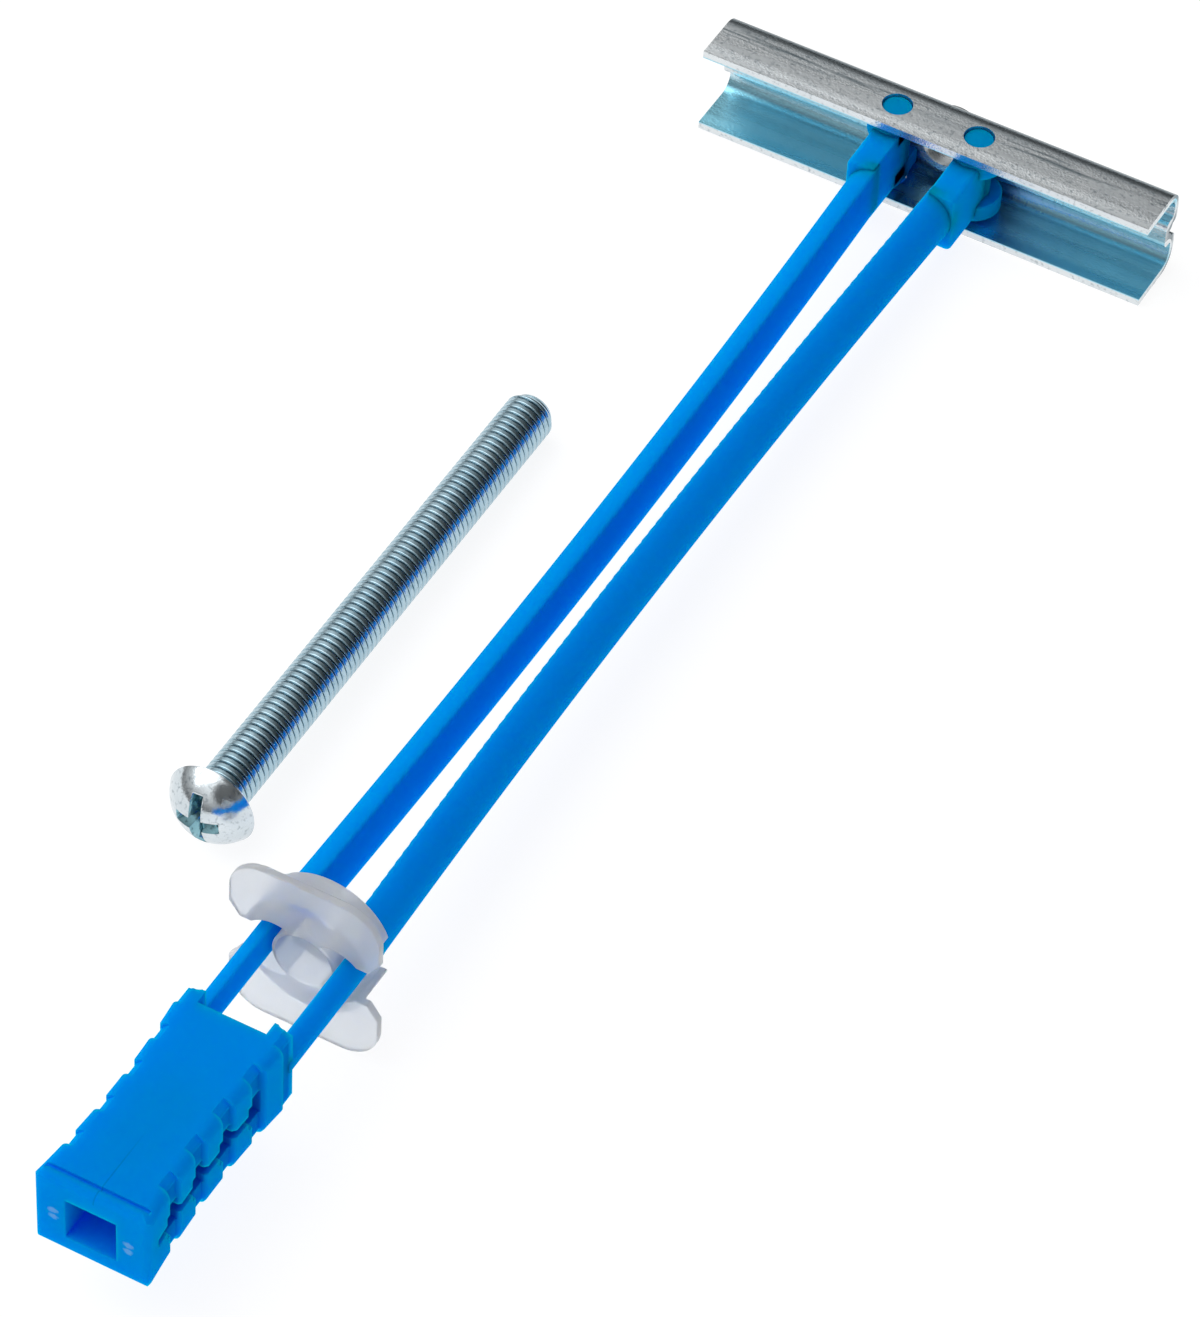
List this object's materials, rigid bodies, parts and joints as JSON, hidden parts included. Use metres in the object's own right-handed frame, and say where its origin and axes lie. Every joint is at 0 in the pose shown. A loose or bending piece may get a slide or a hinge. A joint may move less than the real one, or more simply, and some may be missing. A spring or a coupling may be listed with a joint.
{
  "type": "cavity wall anchor",
  "caption": "Cavity wall anchor: pressed steel toggle channel pinned to flexible straps with a notched grip, a sliding slotted cap, and its machine screw lying beside it.",
  "frame": {"origin": "mouth of the channel's threaded hole, on the screw's axis", "axes": "+X along the steel channel, +Y out of the back of the channel away from the grip, +Z along the straps' pins; the anchor lies with -Z down"},
  "size_m": [0.047, 0.155, 0.0182],
  "materials": {
    "zinc_channel": "bright zinc plate, semi-gloss",
    "blue_plastic": "smooth moulded, semi-gloss",
    "milky_plastic": "translucent natural moulding, satin",
    "zinc_screw": "bright zinc plate, satin"
  },
  "bodies": {
    "grip_body": {"grip": "blue_plastic", "screw": "zinc_screw"},
    "left_body": {"strap_left": "blue_plastic"},
    "right_body": {"strap_right": "blue_plastic"},
    "channel_body": {"channel": "zinc_channel"},
    "cap_body": {"cap": "milky_plastic"}
  },
  "joints": [
    {"name": "strap_sway", "type": "hinge", "parent": "grip_body", "child": "left_body", "pos_m": [-0.00433, -0.1277, 0], "axis": [0, 0, -1], "range_deg": [0, 40], "stiffness_Nm_per_rad": 0.02, "deforming": ["strap_left", "strap_right"]},
    {"name": "right_strap_sway", "type": "hinge", "parent": "grip_body", "child": "right_body", "pos_m": [0.00433, -0.1277, 0], "axis": [0, 0, -1], "range_deg": [0, 40]},
    {"name": "channel_tilt", "type": "hinge", "parent": "left_body", "child": "channel_body", "pos_m": [-0.00433, -0.0017, 0], "axis": [0, 0, -1], "range_deg": [-40, 0]},
    {"name": "cap_slide", "type": "slide", "parent": "left_body", "child": "cap_body", "axis": [0, 1, 0], "range_m": [0, 0.102], "deforming": ["strap_left", "strap_right"]}
  ],
  "couplings": [
    {"joint": "right_strap_sway", "follows": "strap_sway", "ratio": 1},
    {"joint": "channel_tilt", "follows": "strap_sway", "ratio": -1}
  ]
}
